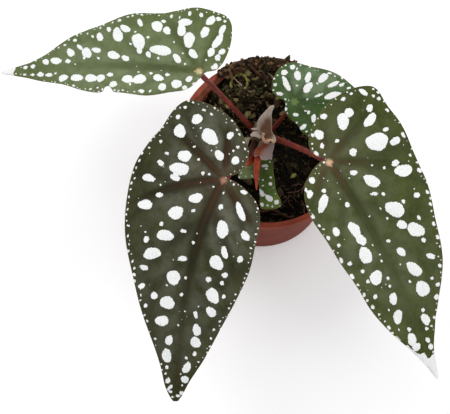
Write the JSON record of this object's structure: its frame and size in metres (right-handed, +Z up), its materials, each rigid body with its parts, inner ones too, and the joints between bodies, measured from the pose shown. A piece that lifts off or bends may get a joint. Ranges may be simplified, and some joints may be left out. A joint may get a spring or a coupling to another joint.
{
  "type": "potted spotted begonia",
  "caption": "Small begonia with lopsided pointed leaves, dark green with white spots, on red stalks in a plain tapered plastic nursery pot of dark soil.",
  "frame": {"origin": "middle of the pot's flat base, on the surface that it stands on", "axes": "+Z up out of the pot, -Y to the front, where the longest leaf reaches, -X to the left"},
  "size_m": [0.2334, 0.2092, 0.1654],
  "materials": {
    "pot_plastic": "terracotta-coloured moulded plastic, satin",
    "soil": "dark moist peat and bark",
    "litter": "dry bark and roots",
    "moss": "dull olive moss",
    "cane": "green-brown young stem with tan rings",
    "stalk": "fleshy dull red with pale flecks",
    "leaf_green": "satin green with raised silvery white spots, red beneath",
    "leaf_olive": "satin dark olive with raised silvery white spots, red beneath",
    "leaf_young": "satin bright green with silvery white spots, red beneath",
    "paper": "dry papery, tan with grey edges",
    "sheath": "fleshy coral red, glossy"
  },
  "bodies": {
    "root": {"pot": "pot_plastic", "soil": "soil", "cane": "cane", "petiole_left": "stalk", "petiole_front": "stalk", "petiole_right": "stalk", "petiole_back": "stalk", "petiole_low": "stalk", "blade_left": "leaf_green", "blade_front": "leaf_olive", "blade_right": "leaf_green", "blade_back": "leaf_young", "blade_low": "leaf_young", "stipule_back": "paper", "stipule_front": "paper", "stipule_ridge": "paper", "stipule_side": "paper", "stipule_tip": "paper", "sheath_long": "sheath", "sheath_short": "sheath", "moss_strand": "moss", "bark_heap": "litter", "twig_front": "litter"}
  },
  "joints": []
}
